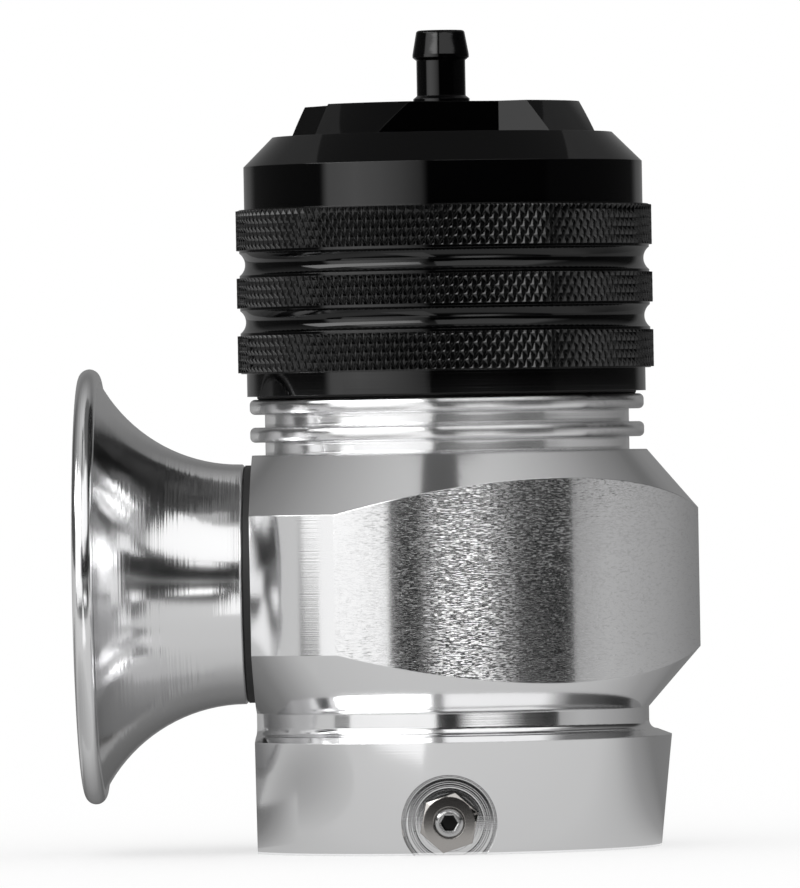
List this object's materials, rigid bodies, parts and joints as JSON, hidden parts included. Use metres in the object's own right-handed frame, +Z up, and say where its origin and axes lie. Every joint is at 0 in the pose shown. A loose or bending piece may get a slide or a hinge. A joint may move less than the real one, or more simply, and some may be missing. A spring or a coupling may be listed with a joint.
{
  "type": "blow off valve",
  "caption": "Turbo blow off valve: turned aluminium body with clamped inlet socket, flared outlet horn, sprung piston and a black knurled screw cap that sets the spring.",
  "frame": {"origin": "centre of the inlet socket's mouth, on the base plane", "axes": "+Z up the valve axis towards the hose barb, -X out of the horn, -Y towards the pictured side"},
  "size_m": [0.0821, 0.062, 0.1088],
  "materials": {
    "body_metal": "turned and polished, side faces brushed",
    "horn_metal": "polished with fine lathe lines",
    "cap_black": "black anodised, satin gloss",
    "piston_metal": "fine turned",
    "spring_steel": "drawn wire",
    "fastener_steel": "bright steel",
    "seal_rubber": "matt black rubber",
    "ring_plastic": "filled low-friction plastic",
    "washer_plastic": "plain white bearing plastic"
  },
  "bodies": {
    "body": {"valve_body": "body_metal", "inlet_seal": "seal_rubber", "set_screws": "fastener_steel", "jam_nuts": "fastener_steel", "cap_seal": "seal_rubber", "horn": "horn_metal", "horn_gasket": "seal_rubber"},
    "piston": {"piston": "piston_metal", "face_seal": "seal_rubber", "lower_piston_ring": "ring_plastic", "upper_piston_ring": "ring_plastic"},
    "perch": {"spring_perch": "piston_metal", "thrust_washer": "washer_plastic", "main_spring": "spring_steel"},
    "cap": {"cap": "cap_black", "hose_barb": "cap_black"}
  },
  "joints": [
    {"name": "piston_lift", "type": "slide", "parent": "body", "child": "piston", "axis": [0, 0, 1], "range_m": [0, 0.014], "stiffness_N_per_m": 2500, "springref_m": -0.012, "deforming": ["main_spring"]},
    {"name": "cap_lift", "type": "slide", "parent": "body", "child": "perch", "axis": [0, 0, 1], "range_m": [0, 0.0015], "deforming": ["main_spring"]},
    {"name": "cap_turn", "type": "hinge", "parent": "perch", "child": "cap", "pos_m": [0, 0, 0.06], "axis": [0, 0, 1], "range_deg": [0, 360]}
  ],
  "couplings": [
    {"joint": "cap_turn", "follows": "cap_lift", "rad_per_m": 4188.8}
  ]
}
